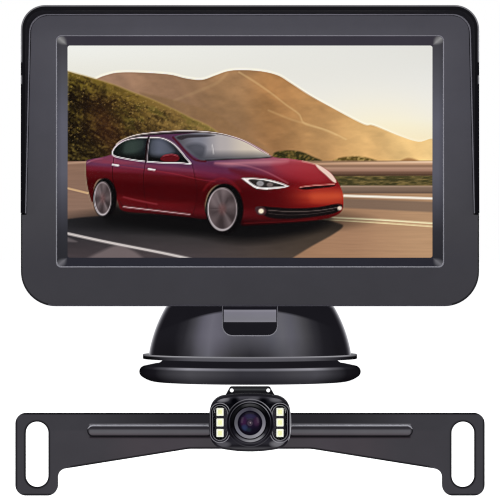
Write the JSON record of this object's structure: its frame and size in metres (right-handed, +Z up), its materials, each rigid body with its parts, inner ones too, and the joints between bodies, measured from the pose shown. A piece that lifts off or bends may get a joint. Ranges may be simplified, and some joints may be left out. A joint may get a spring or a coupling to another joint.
{
  "type": "reversing camera kit",
  "caption": "Dash monitor with sun hood on a suction base with flip lever, tilting arm and ball mount, with a number-plate bar carrying a tilting night-vision camera.",
  "frame": {"origin": "centre of the suction cup's flat mounting face", "axes": "+Z up from the mounting face, +X to the right of a person looking at the screen, the screen and the camera lens look along -Y"},
  "size_m": [0.1958, 0.1414, 0.2047],
  "materials": {
    "bezel_plastic": "satin dark grey moulding",
    "cover_plastic": "fine textured black moulding",
    "gloss_black": "glossy black moulding",
    "clear_glass": "clear polished",
    "display": "lit display face",
    "diffuser": "white diffuser",
    "steel": "bright zinc plate",
    "circuit_board": "green solder mask",
    "chip_black": "moulded",
    "screw_steel": "zinc plated",
    "switch_metal": "plated",
    "button_rubber": "soft matte",
    "socket_black": "moulded",
    "brass_pins": "plated",
    "nylon": "natural nylon",
    "cup_rubber": "soft satin",
    "lever_grey": "satin grey moulding",
    "arm_plastic": "textured black moulding",
    "powder_black": "fine black powder coat on steel",
    "rivet_black": "black",
    "grommet_rubber": "matte",
    "camera_black": "satin black casting",
    "screw_black": "black oxide",
    "lens_black": "gloss black",
    "lens_grey": "satin grey ring",
    "lens_coated": "violet-green coated glass",
    "lens_inner": "coated glass",
    "led_board_black": "black solder mask",
    "led_white": "white moulded",
    "led_yellow": "pale yellow phosphor",
    "clear_window": "clear polished",
    "sensor_dark": "dark sensor glass",
    "lead_black": "satin jacket",
    "plug_black": "moulded"
  },
  "bodies": {
    "base": {"suction_cup": "cup_rubber", "base_flange": "gloss_black", "dome_housing": "gloss_black", "base_screws": "screw_steel", "lever_pin": "steel", "arm_bolt": "screw_steel"},
    "knob": {"arm_knob": "cover_plastic"},
    "lever": {"suction_lever": "lever_grey"},
    "rod": {"pull_rod": "steel"},
    "arm": {"arm": "arm_plastic"},
    "seat": {"ball_seat": "nylon"},
    "monitor": {"front_bezel": "bezel_plastic", "rear_cover": "cover_plastic", "screen_glass": "clear_glass", "lcd_panel": "display", "backlight": "diffuser", "display_tray": "steel", "main_board": "circuit_board", "board_components": "chip_black", "board_screws": "screw_steel", "button_board": "circuit_board", "button_switches": "switch_metal", "power_video_socket": "socket_black", "socket_pins": "brass_pins", "rear_cover_screws": "screw_steel", "ball_cup": "cover_plastic", "cup_screws": "screw_steel"},
    "hood": {"sun_hood": "gloss_black"},
    "nut": {"lock_nut": "cover_plastic"},
    "power_key": {"button_power": "button_rubber"},
    "menu_key": {"button_menu": "button_rubber"},
    "up_key": {"button_up": "button_rubber"},
    "down_key": {"button_down": "button_rubber"},
    "plate": {"plate_bracket": "powder_black", "swivel_bracket": "powder_black", "bracket_rivets": "rivet_black", "cable_grommet": "grommet_rubber", "camera_lead": "lead_black", "lead_plug": "plug_black", "plug_pins": "brass_pins"},
    "camera": {"camera_front_housing": "camera_black", "camera_rear_housing": "camera_black", "housing_seal": "grommet_rubber", "camera_housing_screws": "screw_steel", "pivot_screws": "screw_black", "lens_barrel": "lens_black", "lens_ring": "lens_grey", "lens_glass": "lens_coated", "lens_elements": "lens_inner", "lens_spacer": "lens_black", "led_boards": "led_board_black", "led_packages": "led_white", "led_emitters": "led_yellow", "led_windows": "clear_window", "sensor_board": "circuit_board", "image_sensor": "sensor_dark"}
  },
  "joints": [
    {"name": "lever_flip", "type": "hinge", "parent": "base", "child": "lever", "pos_m": [0, 0, 0.036], "axis": [-1, 0, 0], "range_deg": [0, 50]},
    {"name": "rod_drop", "type": "slide", "parent": "base", "child": "rod", "axis": [0, 0, -1], "range_m": [0, 0.002]},
    {"name": "arm_tilt", "type": "hinge", "parent": "base", "child": "arm", "pos_m": [0, 0.024, 0.05], "axis": [1, 0, 0], "range_deg": [-20, 0]},
    {"name": "arm_knob_turn", "type": "hinge", "parent": "base", "child": "knob", "pos_m": [0.016, 0.024, 0.05], "axis": [1, 0, 0], "continuous": true},
    {"name": "ball_pan", "type": "hinge", "parent": "arm", "child": "seat", "pos_m": [0, -0.03, 0.09655], "axis": [0, 0, 1], "range_deg": [-20, 20]},
    {"name": "ball_tilt", "type": "hinge", "parent": "seat", "child": "monitor", "pos_m": [0, -0.03, 0.09655], "axis": [1, 0, 0], "range_deg": [-15, 5], "stiffness_Nm_per_rad": 3},
    {"name": "lock_nut_turn", "type": "hinge", "parent": "monitor", "child": "nut", "pos_m": [0, -0.03, 0.09655], "axis": [0, 1, 0], "continuous": true},
    {"name": "hood_pull", "type": "slide", "parent": "monitor", "child": "hood", "axis": [0, -1, 0], "range_m": [0, 0.04], "stiffness_N_per_m": 20},
    {"name": "power_press", "type": "slide", "parent": "monitor", "child": "power_key", "axis": [0, -1, 0], "range_m": [0, 0.0008], "stiffness_N_per_m": 100},
    {"name": "menu_press", "type": "slide", "parent": "monitor", "child": "menu_key", "axis": [0, -1, 0], "range_m": [0, 0.0008], "stiffness_N_per_m": 100},
    {"name": "up_press", "type": "slide", "parent": "monitor", "child": "up_key", "axis": [0, -1, 0], "range_m": [0, 0.0008], "stiffness_N_per_m": 100},
    {"name": "down_press", "type": "slide", "parent": "monitor", "child": "down_key", "axis": [0, -1, 0], "range_m": [0, 0.0008], "stiffness_N_per_m": 100},
    {"name": "camera_unit_lift_off", "type": "slide", "parent": "base", "child": "plate", "axis": [0, -1, 0], "range_m": [0, 0.3]},
    {"name": "camera_tilt", "type": "hinge", "parent": "plate", "child": "camera", "pos_m": [0, -0.0715, -0.01385], "axis": [1, 0, 0], "range_deg": [-15, 15], "stiffness_Nm_per_rad": 0.15}
  ],
  "couplings": [
    {"joint": "lever_flip", "follows": "rod_drop", "rad_per_m": 436.33}
  ]
}
